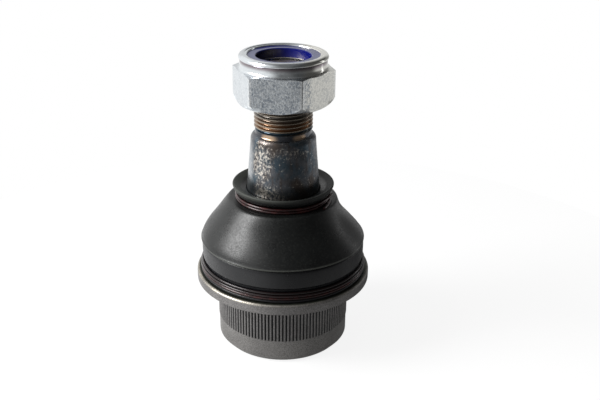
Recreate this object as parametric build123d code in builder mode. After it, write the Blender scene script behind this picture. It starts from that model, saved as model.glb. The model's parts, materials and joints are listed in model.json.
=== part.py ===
from build123d import *

import os
from math import cos, radians, sin, sqrt, tan

# Press-in suspension ball joint. Millimetres. The Z axis is the axis of the housing and, at rest,
# of the ball stud. The origin is the centre of the face that the housing stands on.

# ---- driving dimensions -------------------------------------------------------------------------

# Housing: press body, knurl and flange
body_radius = 25.7
base_chamfer_width = 1.8
base_chamfer_height = 2.0
knurl_radius = 25.9
knurl_bottom = 9.5
knurl_count = 120
knurl_depth = 0.42
flange_root_chamfer = 0.5
flange_radius = 34.0
flange_underside = 26.0
flange_top = 30.1
flange_top_round = 1.0
flange_lower_chamfer = 0.4

# Housing: collar that carries the boot
collar_radius = 29.4
collar_top = 36.2
collar_groove_radius = 28.6
collar_groove_bottom = 31.4
collar_groove_top = 35.0
collar_groove_flare = 0.3
collar_chamfer = 0.5

# Ball, its neck and how far it swings
ball_radius = 17.0
ball_centre = 22.0
ball_flat_depth = 12.5
ball_fit = 0.05
swing_limit = 22.0
neck_radius = 9.3
neck_waist = 39.0
neck_flare_bottom = 43.0
neck_edge_angle = 35.5

# Bearing seats in the housing bore
seat_wall = 2.45
seat_mouth_margin = 0.5
mouth_angle = 54.0
mouth_flare_radius = 19.0
seat_split_gap = 0.3
lower_seat_bottom = 7.6
lower_seat_chamfer = 4.0
lower_seat_opening = 11.2
lower_seat_lead = 0.6
grease_groove_count = 6
grease_groove_width = 1.6
grease_groove_depth = 0.8

# Closing cap under the rolled edge, and the disc spring on it
cap_radius = 21.95
cap_thickness = 3.0
cap_pocket_radius = 22.0
rolled_edge_height = 1.6
rolled_edge_radius = 19.8
rolled_edge_round = 0.9
cap_dish_radius = 15.5
cap_dish_depth = 0.7
cap_dish_taper = 30.0
spring_thickness = 1.5
spring_outer_radius = 19.2
spring_inner_radius = 12.6

# Stud above the neck
boot_seat_radius = 14.0
boot_seat_bottom = 54.0
taper_bottom = 62.6
taper_top = 83.4
taper_ratio = 6.0
shoulder_straight_top = 83.9
shoulder_edge_radius = 11.6
shoulder_edge_height = 85.2
undercut_radius = 10.6
undercut_bottom = 86.3
undercut_top = 87.6
thread_radius = 11.0
stud_end = 110.4
stud_end_chamfer = 1.3
centre_hole_radius = 1.6
centre_hole_angle = 60.0

# Lock nut and its nylon insert
nut_across_flats = 33.0
nut_turn_at_rest = -9.9
nut_edge_round = 0.6
nut_bottom = 97.4
nut_hex_top = 110.4
nut_bottom_chamfer_angle = 35.0
nut_bottom_face_radius = 15.4
nut_top_chamfer_angle = 11.0
nut_top_face_radius = 16.3
thread_fit = 0.05
nut_countersink = 1.0
nut_collar_radius = 16.0
nut_collar_wall = 1.3
nut_collar_straight_top = 114.1
nut_crown_width = 1.4
nut_top = 115.5
nut_rim_inner_radius = 13.3
nut_rim_edge = 0.5
insert_bottom = 111.1
insert_top = 114.75
insert_hole_radius = 10.13
insert_hole_chamfer = 0.3
insert_gap = 0.05

# Dust boot
boot_bottom = 30.2
boot_foot_radius = 32.4
boot_foot_top = 31.35
boot_clip_floor = 31.4
boot_band_bottom = 35.6
boot_crease_radius = 31.9
boot_crease_height = 43.3
boot_crease_step = 0.28
boot_crease_step_height = 0.5
boot_bell_points = ((28.9, 47.8), (24.8, 52.8), (21.9, 57.8))
boot_shoulder_radius = 20.6
boot_shoulder_height = 59.4
boot_neck_floor = 17.3
boot_neck_groove_top = 62.1
boot_lip_root_radius = 18.4
boot_lip_root_height = 62.4
boot_lip_radius = 19.3
boot_lip_top = 65.2
boot_lip_round = 0.4
boot_dish_edge_radius = 15.6
boot_dish_edge_height = 63.55
boot_dish_bottom = 63.3
boot_bore_radius = 14.1
boot_bore_bottom = 56.6
boot_inner_neck_radius = 18.2
boot_inner_bend_radius = 23.2
boot_inner_bend_height = 51.2
boot_inner_band_top = 42.4
boot_fit = 0.1

# Wire clips: each a close coil of round spring wire
lower_wire = 1.0
lower_coil_radius = 32.0
lower_coil_bottom = 31.98
lower_coil_turns = 3.0
upper_wire = 1.1
upper_coil_radius = 18.0
upper_coil_bottom = 60.0
upper_coil_turns = 1.1
coil_turn_gap = 0.04
wire_flats = 8
upper_tail_angle = 41.0
upper_tail_radius = 20.3

# ---- worked-out dimensions ----------------------------------------------------------------------

seat_radius = ball_radius + ball_fit
bore_radius = seat_radius + seat_wall
seat_mouth_angle = neck_edge_angle + swing_limit + seat_mouth_margin
knurl_top = flange_underside - flange_root_chamfer
cap_top = rolled_edge_height + cap_thickness
taper_top_radius = boot_seat_radius - (taper_top - taper_bottom) / (2 * taper_ratio)
nut_pocket_radius = nut_collar_radius - nut_collar_wall


def on_sphere(radius, angle):
    """Point (r, z) of a sphere about the ball centre, at an angle from the +Z axis."""
    return radius * sin(radians(angle)), ball_centre + radius * cos(radians(angle))


def sphere_at(radius, r):
    """Height of the lower half of a sphere about the ball centre, at distance r from the axis."""
    return ball_centre - sqrt(radius**2 - r**2)


# ---- housing: forged and turned body with knurl, flange, boot collar and rolled bottom edge ------

mouth_edge = on_sphere(bore_radius, mouth_angle)
with BuildPart() as housing:
    with BuildSketch(Plane.XZ):
        with BuildLine():
            outside = Polyline(
                (rolled_edge_radius + rolled_edge_round, 0),
                (body_radius - base_chamfer_width, 0),
                (body_radius, base_chamfer_height),
                (body_radius, knurl_bottom),
                (knurl_radius, knurl_bottom),
                (knurl_radius, knurl_top),
                (knurl_radius + flange_root_chamfer, flange_underside),
                (flange_radius - flange_lower_chamfer, flange_underside),
                (flange_radius, flange_underside + flange_lower_chamfer),
                (flange_radius, flange_top - flange_top_round),
            )
            flange_edge = RadiusArc(
                outside @ 1,
                (flange_radius - flange_top_round, flange_top),
                -flange_top_round,
            )
            collar = Polyline(
                flange_edge @ 1,
                (collar_radius, flange_top),
                (collar_radius, collar_groove_bottom - collar_groove_flare),
                (collar_groove_radius, collar_groove_bottom),
                (collar_groove_radius, collar_groove_top),
                (collar_radius, collar_groove_top + collar_groove_flare),
                (collar_radius, collar_top - collar_chamfer),
                (collar_radius - collar_chamfer, collar_top),
                (mouth_flare_radius, collar_top),
                mouth_edge,
            )
            seat_vault = RadiusArc(collar @ 1, (bore_radius, ball_centre), bore_radius)
            inside = Polyline(
                seat_vault @ 1,
                (bore_radius, cap_top),
                (cap_pocket_radius, cap_top),
                (cap_pocket_radius, rolled_edge_height),
                (rolled_edge_radius, rolled_edge_height),
                (rolled_edge_radius, rolled_edge_round),
            )
            RadiusArc(inside @ 1, outside @ 0, -rolled_edge_round)
        make_face()
    revolve(axis=Axis.Z)
    with BuildSketch(Plane.XY.offset(knurl_bottom)):
        with PolarLocations(knurl_radius, knurl_count):
            Rectangle(knurl_depth * sqrt(2), knurl_depth * sqrt(2), rotation=45)
    extrude(amount=knurl_top - knurl_bottom, mode=Mode.SUBTRACT)
housing.part.label = "housing"

# ---- closing cap: pressed cover held by the rolled edge ------------------------------------------

with BuildPart() as closing_cap:
    with BuildSketch(Plane.XY.offset(rolled_edge_height)):
        Circle(cap_radius)
    extrude(amount=cap_thickness)
    with BuildSketch(Plane.XY.offset(rolled_edge_height)):
        Circle(cap_dish_radius)
    extrude(amount=cap_dish_depth, taper=cap_dish_taper, mode=Mode.SUBTRACT)
closing_cap.part.label = "closing_cap"

# ---- preload spring: disc spring between the cap and the lower seat ------------------------------

with BuildPart() as preload_spring:
    with BuildSketch(Plane.XZ):
        with BuildLine():
            Polyline(
                (spring_outer_radius, cap_top),
                (spring_outer_radius, cap_top + spring_thickness),
                (spring_inner_radius, lower_seat_bottom),
                (spring_inner_radius, lower_seat_bottom - spring_thickness),
                close=True,
            )
        make_face()
    revolve(axis=Axis.Z)
preload_spring.part.label = "preload_spring"

# ---- lower bearing seat: half shell under the ball with grease grooves, pushed up by the spring ---

with BuildPart() as lower_bearing_seat:
    with BuildSketch(Plane.XZ):
        with BuildLine():
            split = ball_centre - seat_split_gap / 2
            outline = Polyline(
                (sqrt(seat_radius**2 - (seat_split_gap / 2) ** 2), split),
                (bore_radius, split),
                (bore_radius, lower_seat_bottom + lower_seat_chamfer),
                (bore_radius - lower_seat_chamfer, lower_seat_bottom),
                (lower_seat_opening + lower_seat_lead, lower_seat_bottom),
                (lower_seat_opening, sphere_at(seat_radius, lower_seat_opening)),
            )
            RadiusArc(outline @ 1, outline @ 0, -seat_radius)
        make_face()
    revolve(axis=Axis.Z)
    for index in range(grease_groove_count // 2):
        across = radians(360 / grease_groove_count * index)
        groove_plane = Plane(
            origin=(0, 0, ball_centre),
            x_dir=(cos(across), sin(across), 0),
            z_dir=(sin(across), -cos(across), 0),
        )
        with BuildSketch(groove_plane):
            Circle(seat_radius + grease_groove_depth)
        extrude(amount=grease_groove_width / 2, both=True, mode=Mode.SUBTRACT)
lower_bearing_seat.part.label = "lower_bearing_seat"

# ---- upper bearing seat: half shell between the ball and the housing's vault ---------------------

with BuildPart() as upper_bearing_seat:
    with BuildSketch(Plane.XZ):
        with BuildLine():
            split = ball_centre + seat_split_gap / 2
            inner_foot = (sqrt(seat_radius**2 - (seat_split_gap / 2) ** 2), split)
            outer_foot = (sqrt(bore_radius**2 - (seat_split_gap / 2) ** 2), split)
            inner_mouth = on_sphere(seat_radius, seat_mouth_angle)
            outer_mouth = on_sphere(bore_radius, seat_mouth_angle)
            Line(inner_foot, outer_foot)
            RadiusArc(outer_foot, outer_mouth, -bore_radius)
            Line(outer_mouth, inner_mouth)
            RadiusArc(inner_mouth, inner_foot, seat_radius)
        make_face()
    revolve(axis=Axis.Z)
upper_bearing_seat.part.label = "upper_bearing_seat"

# ---- ball stud: ball, waisted neck, boot seat, taper, shoulder and threaded end with centre hole --

neck_edge = on_sphere(ball_radius, neck_edge_angle)
ball_bottom = ball_centre - ball_flat_depth
flat_radius = sqrt(ball_radius**2 - ball_flat_depth**2)
with BuildPart() as ball_stud:
    with BuildSketch(Plane.XZ):
        with BuildLine():
            foot = Line((0, ball_bottom), (flat_radius, ball_bottom))
            hole_depth = centre_hole_radius / tan(radians(centre_hole_angle / 2))
            ball_side = ThreePointArc(foot @ 1, (ball_radius, ball_centre), neck_edge)
            waist = (neck_radius, neck_waist)
            lower_neck = TangentArc(waist, neck_edge, tangent=(0, -1))
            flare_start = (neck_radius, neck_flare_bottom)
            Line(waist, flare_start)
            flare = TangentArc(flare_start, (boot_seat_radius, boot_seat_bottom), tangent=(0, 1))
            shank = Polyline(
                flare @ 1,
                (boot_seat_radius, taper_bottom),
                (taper_top_radius, taper_top),
                (taper_top_radius, shoulder_straight_top),
            )
            shoulder_edge = (shoulder_edge_radius, shoulder_edge_height)
            shoulder = TangentArc(shank @ 1, shoulder_edge, tangent=(0, 1))
            relief_start = (undercut_radius, undercut_bottom)
            relief = TangentArc(relief_start, shoulder @ 1, tangent=(0, -1))
            Polyline(
                relief_start,
                (undercut_radius, undercut_top),
                (thread_radius, undercut_top + thread_radius - undercut_radius),
                (thread_radius, stud_end - stud_end_chamfer),
                (thread_radius - stud_end_chamfer, stud_end),
                (centre_hole_radius, stud_end),
                (0, stud_end - hole_depth),
                foot @ 0,
            )
        make_face()
    revolve(axis=Axis.Z)
ball_stud.part.label = "ball_stud"

# ---- lock nut: hexagon with chamfered corners and a collar rolled over the insert ----------------

corner_radius = nut_across_flats / sqrt(3)
bottom_rise = (corner_radius - nut_bottom_face_radius) * tan(radians(nut_bottom_chamfer_angle))
top_drop = (corner_radius - nut_top_face_radius) * tan(radians(nut_top_chamfer_angle))
with BuildPart() as lock_nut:
    with BuildSketch(Plane.XY.offset(nut_bottom)):
        RegularPolygon(nut_across_flats / 2, 6, major_radius=False, rotation=nut_turn_at_rest)
    extrude(amount=nut_hex_top - nut_bottom)
    fillet(lock_nut.edges().filter_by(Axis.Z), nut_edge_round)
    with BuildSketch(Plane.XZ):
        with BuildLine():
            Polyline(
                (0, nut_bottom),
                (nut_bottom_face_radius, nut_bottom),
                (corner_radius, nut_bottom + bottom_rise),
                (corner_radius, nut_hex_top - top_drop),
                (nut_top_face_radius, nut_hex_top),
                (0, nut_hex_top),
                close=True,
            )
        make_face()
    revolve(axis=Axis.Z, mode=Mode.INTERSECT)
    with BuildSketch(Plane.XZ):
        with BuildLine():
            side = Polyline(
                (0, nut_hex_top),
                (nut_collar_radius, nut_hex_top),
                (nut_collar_radius, nut_collar_straight_top),
            )
            crown = TangentArc(
                side @ 1,
                (nut_collar_radius - nut_crown_width, nut_top),
                tangent=(0, 1),
            )
            Polyline(
                crown @ 1,
                (nut_rim_inner_radius, insert_top + nut_rim_edge),
                (nut_rim_inner_radius, insert_top),
                (nut_pocket_radius, insert_top),
                (nut_pocket_radius, insert_bottom),
                (0, insert_bottom),
                side @ 0,
            )
        make_face()
    revolve(axis=Axis.Z)
    with BuildSketch(Plane.XZ):
        with BuildLine():
            bore = thread_radius + thread_fit
            Polyline(
                (0, nut_bottom),
                (bore + nut_countersink, nut_bottom),
                (bore, nut_bottom + nut_countersink),
                (bore, insert_bottom),
                (0, insert_bottom),
                close=True,
            )
        make_face()
    revolve(axis=Axis.Z, mode=Mode.SUBTRACT)
lock_nut.part.label = "lock_nut"

# ---- nylon insert: ring held in the nut's collar --------------------------------------------------

with BuildPart() as nylon_insert:
    with BuildSketch(Plane.XY.offset(insert_bottom + insert_gap)):
        Circle(nut_pocket_radius - insert_gap)
        Circle(insert_hole_radius, mode=Mode.SUBTRACT)
    extrude(amount=insert_top - insert_bottom - 2 * insert_gap)
    hole_edge = nylon_insert.edges().group_by(Axis.Z)[-1].sort_by(SortBy.RADIUS)[0]
    chamfer(hole_edge, insert_hole_chamfer)
nylon_insert.part.label = "nylon_insert"

# ---- dust boot: bellows of one fold, clamped on the collar and on the stud ------------------------

with BuildPart() as dust_boot:
    with BuildSketch(Plane.XZ):
        with BuildLine():
            foot_inner = (collar_radius + boot_fit, boot_bottom)
            lower_outside = Polyline(
                foot_inner,
                (boot_foot_radius, boot_bottom),
                (boot_foot_radius, boot_foot_top),
                (boot_clip_floor, boot_foot_top),
                (boot_clip_floor, boot_band_bottom),
                (
                    boot_crease_radius - boot_crease_step,
                    boot_crease_height - boot_crease_step_height,
                ),
                (boot_crease_radius, boot_crease_height),
            )
            bell = Spline(
                lower_outside @ 1,
                *boot_bell_points,
                (boot_shoulder_radius, boot_shoulder_height),
            )
            Polyline(
                bell @ 1,
                (boot_neck_floor, boot_shoulder_height),
                (boot_neck_floor, boot_neck_groove_top),
                (boot_lip_root_radius, boot_lip_root_height),
                (boot_lip_radius, boot_lip_top - boot_lip_round),
                (boot_lip_radius - boot_lip_round, boot_lip_top),
                (boot_dish_edge_radius, boot_dish_edge_height),
                (boot_bore_radius, boot_dish_bottom),
                (boot_bore_radius, boot_bore_bottom),
                (boot_inner_neck_radius, boot_bore_bottom),
                (boot_inner_bend_radius, boot_inner_bend_height),
                (collar_radius + boot_fit, boot_inner_band_top),
                (collar_radius + boot_fit, collar_groove_top),
                (collar_groove_radius + boot_fit, collar_groove_top - collar_groove_flare),
                (collar_groove_radius + boot_fit, collar_groove_bottom + collar_groove_flare),
                (collar_radius + boot_fit, collar_groove_bottom),
                foot_inner,
            )
        make_face()
    revolve(axis=Axis.Z)
dust_boot.part.label = "dust_boot"

# ---- wire clips: close coils of round spring wire ------------------------------------------------


def wound_clip(path, wire, name):
    """Clip of wire that follows a path, its round section taken as eight flats."""
    with BuildPart() as clip:
        with BuildSketch(Plane(origin=path @ 0, z_dir=path % 0)):
            RegularPolygon(wire / 2, wire_flats)
        sweep(path=path, is_frenet=True)
    clip.part.label = name
    return clip


lower_pitch = lower_wire + coil_turn_gap
with BuildLine() as lower_path:
    Helix(
        lower_pitch,
        lower_pitch * lower_coil_turns,
        lower_coil_radius,
        center=(0, 0, lower_coil_bottom),
    )
lower_boot_clip = wound_clip(lower_path.line, lower_wire, "lower_boot_clip")

upper_pitch = upper_wire + coil_turn_gap
with BuildLine() as upper_path:
    coil = Helix(
        upper_pitch,
        upper_pitch * upper_coil_turns,
        upper_coil_radius,
        center=(0, 0, upper_coil_bottom),
    )
    tail_end = (
        upper_tail_radius * cos(radians(upper_tail_angle)),
        -upper_tail_radius * sin(radians(upper_tail_angle)),
        upper_coil_bottom,
    )
    TangentArc(coil @ 0, tail_end, tangent=-(coil % 0))
upper_boot_clip = wound_clip(upper_path.line, upper_wire, "upper_boot_clip")

# ---- write every piece -----------------------------------------------------------------------------

pieces = (
    housing,
    closing_cap,
    preload_spring,
    lower_bearing_seat,
    upper_bearing_seat,
    ball_stud,
    dust_boot,
    lower_boot_clip,
    upper_boot_clip,
    lock_nut,
    nylon_insert,
)
os.makedirs("parts", exist_ok=True)
for piece in pieces:
    export_step(piece.part, f"parts/{piece.part.label}.step")
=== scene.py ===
"""A press-in suspension ball joint, dressed and lit for a product picture.

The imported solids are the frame. The stud gets its cut thread, the nut its chamfers and rolled bead,
the dust boot its soft and slightly uneven fold, and both clips their wound wire. The other pieces
keep their solids and get a finish. Lengths in the pieces' classes are millimetres and become metres
where a mesh is made. The studio's lengths are metres.
"""

import json
import logging
import math
from dataclasses import dataclass, field
from enum import Enum
from typing import Any, Sequence

import bpy
from mathutils import Matrix, Vector

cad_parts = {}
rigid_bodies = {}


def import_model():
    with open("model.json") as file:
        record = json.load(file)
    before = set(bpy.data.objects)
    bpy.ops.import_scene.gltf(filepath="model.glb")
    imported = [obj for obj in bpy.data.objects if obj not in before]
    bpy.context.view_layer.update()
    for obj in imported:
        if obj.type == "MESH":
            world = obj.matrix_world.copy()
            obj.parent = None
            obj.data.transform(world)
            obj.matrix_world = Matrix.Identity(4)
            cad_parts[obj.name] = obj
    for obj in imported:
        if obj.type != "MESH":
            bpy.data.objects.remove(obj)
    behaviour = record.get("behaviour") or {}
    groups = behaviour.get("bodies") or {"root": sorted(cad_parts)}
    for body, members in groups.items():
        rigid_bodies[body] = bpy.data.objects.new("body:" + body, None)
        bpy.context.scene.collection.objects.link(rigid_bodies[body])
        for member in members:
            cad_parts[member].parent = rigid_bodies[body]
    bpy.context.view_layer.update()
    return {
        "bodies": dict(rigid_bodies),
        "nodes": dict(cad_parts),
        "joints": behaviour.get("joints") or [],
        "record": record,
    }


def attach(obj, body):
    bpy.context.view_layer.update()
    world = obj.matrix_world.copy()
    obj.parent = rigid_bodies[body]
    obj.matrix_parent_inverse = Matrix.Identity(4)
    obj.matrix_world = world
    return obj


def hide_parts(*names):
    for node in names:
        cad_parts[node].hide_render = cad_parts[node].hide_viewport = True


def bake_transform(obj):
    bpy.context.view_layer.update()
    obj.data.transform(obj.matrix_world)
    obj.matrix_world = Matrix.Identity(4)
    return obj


LOG = logging.getLogger("ball_joint")
MM = 0.001

Point = tuple[float, float, float]
Span = tuple[float, float]
Zone = tuple[float, float, float, float]


# ---- colours, nodes and finishes -----------------------------------------------------------------


def linear(colour: str) -> tuple[float, float, float, float]:
    """Turns an sRGB hex colour into the linear RGBA that a shader socket takes.

    Args:
        colour: Six hex digits after a hash sign.

    Returns:
        Linear red, green and blue, with an alpha of one.
    """
    channels = [int(colour[i : i + 2], 16) / 255 for i in (1, 3, 5)]
    values = [c / 12.92 if c <= 0.04045 else ((c + 0.055) / 1.055) ** 2.4 for c in channels]
    return (values[0], values[1], values[2], 1.0)


def per_metre(size_mm: float) -> float:
    """Texture scale that gives features of this size in millimetres on Object coordinates."""
    return 1000.0 / size_mm


def add_node(
    tree: bpy.types.NodeTree,
    kind: str,
    settings: dict[str, Any] | None = None,
    sockets: dict[str | int, Any] | None = None,
) -> bpy.types.Node:
    """Adds a node with its settings, socket values and links.

    Args:
        tree: The node tree to add it to.
        kind: The node's type name.
        settings: Properties of the node by name.
        sockets: Input sockets by name or number, each with a value or an output that feeds it.

    Returns:
        The new node.
    """
    made = tree.nodes.new(kind)
    for name, value in (settings or {}).items():
        setattr(made, name, value)
    for key, value in (sockets or {}).items():
        if isinstance(value, bpy.types.NodeSocket):
            tree.links.new(value, made.inputs[key])
        else:
            made.inputs[key].default_value = value
    return made


@dataclass(frozen=True)
class Fade:
    """A change from one level to another between two values, held at its ends."""

    start: float
    end: float
    before: float
    after: float


SPOT_EDGE = Fade(0.35, 1.0, 1.0, 0.0)


@dataclass(frozen=True)
class Grain:
    """A cloudy pattern.

    It has the size of its largest features in millimetres, the number of finer layers, how strong
    these are, and factors on the coordinates, below one to draw the pattern out.
    """

    size: float
    layers: float
    strength: float
    stretch: Point = (1.0, 1.0, 1.0)


@dataclass(frozen=True)
class Spot:
    """A soft oval spot on a piece: its centre and its reach along each axis, in millimetres."""

    centre: Point
    reach: Point


@dataclass(frozen=True)
class Wiring:
    """Short steps between values in one node tree."""

    tree: bpy.types.NodeTree

    def ease(self, value: Any, low: float, high: float, at_low: Any, at_high: Any) -> Any:
        """Value eased from one range to another and held at its ends."""
        return add_node(
            self.tree,
            "ShaderNodeMapRange",
            {"interpolation_type": "SMOOTHSTEP"},
            {0: value, 1: low, 2: high, 3: at_low, 4: at_high},
        ).outputs[0]

    def math(self, operation: str, first: Any, second: Any = 0.0) -> Any:
        """Result of one arithmetic step."""
        return add_node(
            self.tree, "ShaderNodeMath", {"operation": operation}, {0: first, 1: second}
        ).outputs[0]

    def fade(self, value: Any, fade: Fade) -> Any:
        """Level that a fade gives at this value."""
        return self.ease(value, fade.start, fade.end, fade.before, fade.after)

    def times(self, first: Any, *others: Any) -> Any:
        """Product of two or more values."""
        for other in others:
            first = self.math("MULTIPLY", first, other)
        return first

    def most(self, first: Any, *others: Any) -> Any:
        """Greatest of two or more values."""
        for other in others:
            first = self.math("MAXIMUM", first, other)
        return first

    def axes(self, place: bpy.types.NodeSocket) -> tuple[bpy.types.NodeSocket, ...]:
        """X, Y and Z of a place or direction."""
        parts = add_node(self.tree, "ShaderNodeSeparateXYZ", None, {0: place}).outputs
        return parts[0], parts[1], parts[2]

    def mirror_ray(self, rays: bpy.types.Node) -> bpy.types.NodeSocket:
        """One for a ray that a mirror or clear piece sends out, and zero for any other."""
        return self.most(rays.outputs["Is Glossy Ray"], rays.outputs["Is Transmission Ray"])

    def between(self, first: Any, second: Any, share: Any) -> Any:
        """Value between two others, by a share from 0 to 1."""
        return add_node(
            self.tree, "ShaderNodeMix", None, {0: share, 2: first, 3: second}
        ).outputs[0]


@dataclass(frozen=True)
class Surface(Wiring):
    """The parts of a material's tree that a finish works on."""

    shader: bpy.types.Node
    place: bpy.types.NodeSocket

    def mix(self, low: Any, high: Any, share: Any) -> bpy.types.NodeSocket:
        """Colour between two hex colours or colour outputs, by a share from 0 to 1."""
        low, high = (linear(side) if isinstance(side, str) else side for side in (low, high))
        return add_node(
            self.tree, "ShaderNodeMix", {"data_type": "RGBA"}, {0: share, 6: low, 7: high}
        ).outputs[2]

    def noise(self, grain: Grain) -> bpy.types.NodeSocket:
        """Cloudy pattern of this grain, from 0 to 1."""
        where = self.place
        if grain.stretch != Grain.stretch:
            where = add_node(
                self.tree, "ShaderNodeMapping", None, {"Vector": where, "Scale": grain.stretch}
            ).outputs[0]
        sockets = {
            "Vector": where,
            "Scale": per_metre(grain.size),
            "Detail": grain.layers,
            "Roughness": grain.strength,
        }
        return add_node(self.tree, "ShaderNodeTexNoise", None, sockets).outputs[0]

    def distance(
        self, scale: Sequence[float], shift: Sequence[float] = (0.0, 0.0, 0.0)
    ) -> bpy.types.NodeSocket:
        """Distance of the place from the origin, once it is scaled and shifted."""
        where = add_node(
            self.tree,
            "ShaderNodeMapping",
            None,
            {"Vector": self.place, "Location": shift, "Scale": scale},
        )
        return add_node(
            self.tree, "ShaderNodeVectorMath", {"operation": "LENGTH"}, {0: where.outputs[0]}
        ).outputs["Value"]

    def radius_and_height(self) -> tuple[bpy.types.NodeSocket, bpy.types.NodeSocket]:
        """Distance from the Z axis and height, both in metres."""
        return self.distance((1.0, 1.0, 0.0)), self.axes(self.place)[2]

    def rise(self, value: Any, span: Span) -> Any:
        """Share that grows from 0 to 1 over a span in millimetres."""
        return self.ease(value, span[0] * MM, span[1] * MM, 0.0, 1.0)

    def fall(self, value: Any, span: Span) -> Any:
        """Share that shrinks from 1 to 0 over a span in millimetres."""
        return self.ease(value, span[0] * MM, span[1] * MM, 1.0, 0.0)

    def zone(self, value: Any, zone: Zone) -> Any:
        """Share that rises over a zone's first span and falls over its second."""
        return self.times(self.rise(value, zone[:2]), self.fall(value, zone[2:]))

    def patch(self, spot: Spot) -> bpy.types.NodeSocket:
        """Share that is one in a spot's middle and zero past its reach."""
        scale = Vector(1.0 / (reach * MM) for reach in spot.reach)
        shift = Vector(-centre * MM * factor for centre, factor in zip(spot.centre, scale))
        return self.fade(self.distance(scale, shift), SPOT_EDGE)

    def bump(self, height: bpy.types.NodeSocket, depth_mm: float) -> None:
        """Feeds the shader's normal from a height pattern of this depth."""
        made = add_node(
            self.tree,
            "ShaderNodeBump",
            None,
            {"Height": height, "Strength": 1.0, "Distance": depth_mm * MM},
        )
        self.tree.links.new(made.outputs[0], self.shader.inputs["Normal"])

    def feed(self, socket: str, source: bpy.types.NodeSocket) -> None:
        """Links an output to one of the shader's sockets."""
        self.tree.links.new(source, self.shader.inputs[socket])


@dataclass(frozen=True)
class Finish:
    """What every finish has: a material name, one plain colour and the shader's constants."""

    name: str = "finish"
    colour: str = "#808080"
    metallic: float = 0.0
    roughness: float = 0.5

    def material(self) -> bpy.types.Material:
        """Builds the material.

        Returns:
            The finished material, named for what it is.
        """
        made = bpy.data.materials.new(self.name)
        made.use_nodes = True
        tree = made.node_tree
        tree.nodes.clear()
        shader = add_node(
            tree,
            "ShaderNodeBsdfPrincipled",
            None,
            {
                "Base Color": linear(self.colour),
                "Metallic": self.metallic,
                "Roughness": self.roughness,
            },
        )
        add_node(tree, "ShaderNodeOutputMaterial", None, {"Surface": shader.outputs[0]})
        place = add_node(tree, "ShaderNodeTexCoord").outputs["Object"]
        self.dress(Surface(tree, shader, place))
        return made

    def dress(self, surface: Surface) -> None:
        """Adds the finish's own pattern. A plain finish has none."""


@dataclass(frozen=True)
class ManganesePhosphate(Finish):
    """Turned and knurled forging, phosphated and oiled: a dull grey skin with a fine crystal grain.

    The knurl's grooves are coloured almost black towards their bottoms. The flange's rounded edge is
    painted brighter as a highlight, most on the left where the key lamp shines, in patches.
    """

    name: str = "manganese_phosphate_steel"
    colour: str = "#878584"
    metallic: float = 0.85
    roughness: float = 0.5
    edge_highlight_roughness: float = 0.38
    groove_colour: str = "#2b2d2f"
    land_colour: str = "#908e8c"
    top_colour: str = "#42453e"
    edge_highlight_colour: str = "#ada89d"
    crystals: Grain = Grain(0.35, 3.0, 0.6)
    crystal_depth: float = 0.03
    clouds: Grain = Grain(7.0, 2.0, 0.5)
    speckle: Fade = Fade(0.3, 0.7, 0.62, 1.34)
    mottle: Fade = Fade(0.3, 0.7, 0.92, 1.06)
    land_top: Span = (9.45, 9.55)
    knurl_height: Zone = (9.4, 9.6, 25.4, 25.5)
    groove_radius: Span = (25.62, 25.86)
    flange_top: Span = (29.9, 30.08)
    edge_radius: Span = (32.9, 33.3)
    edge_height: Span = (29.2, 29.6)
    edge_highlight_patches: Fade = Fade(0.25, 0.6, 0.35, 1.0)
    edge_highlight_side: Fade = Fade(-20.0 * MM, 10.0 * MM, 1.0, 0.3)

    def dress(self, surface: Surface) -> None:
        """Colours the zones of the housing by height and radius, with the crystals' grain."""
        radius, height = surface.radius_and_height()
        across = surface.axes(surface.place)[0]
        grain = surface.noise(self.crystals)
        cloud = surface.noise(self.clouds)
        body = surface.mix(self.land_colour, self.colour, surface.rise(height, self.land_top))
        # The knurl's grooves are coloured almost black towards their bottoms.
        sunk = surface.times(
            surface.zone(height, self.knurl_height), surface.fall(radius, self.groove_radius)
        )
        body = surface.mix(body, self.groove_colour, sunk)
        body = surface.mix(body, self.top_colour, surface.rise(height, self.flange_top))
        # Painted highlight: the flange's rounded edge is coloured brighter, most on the left where
        # the key lamp shines, in patches.
        edge_highlight = surface.times(
            surface.rise(radius, self.edge_radius),
            surface.rise(height, self.edge_height),
            surface.fade(cloud, self.edge_highlight_patches),
            surface.fade(across, self.edge_highlight_side),
        )
        body = surface.mix(body, self.edge_highlight_colour, edge_highlight)
        shade = surface.times(surface.fade(grain, self.speckle), surface.fade(cloud, self.mottle))
        tint = add_node(
            surface.tree,
            "ShaderNodeVectorMath",
            {"operation": "SCALE"},
            {0: body, "Scale": shade},
        )
        surface.feed("Base Color", tint.outputs[0])
        rough = surface.ease(edge_highlight, 0.0, 1.0, self.roughness, self.edge_highlight_roughness)
        surface.feed("Roughness", rough)
        surface.bump(grain, self.crystal_depth)


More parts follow.
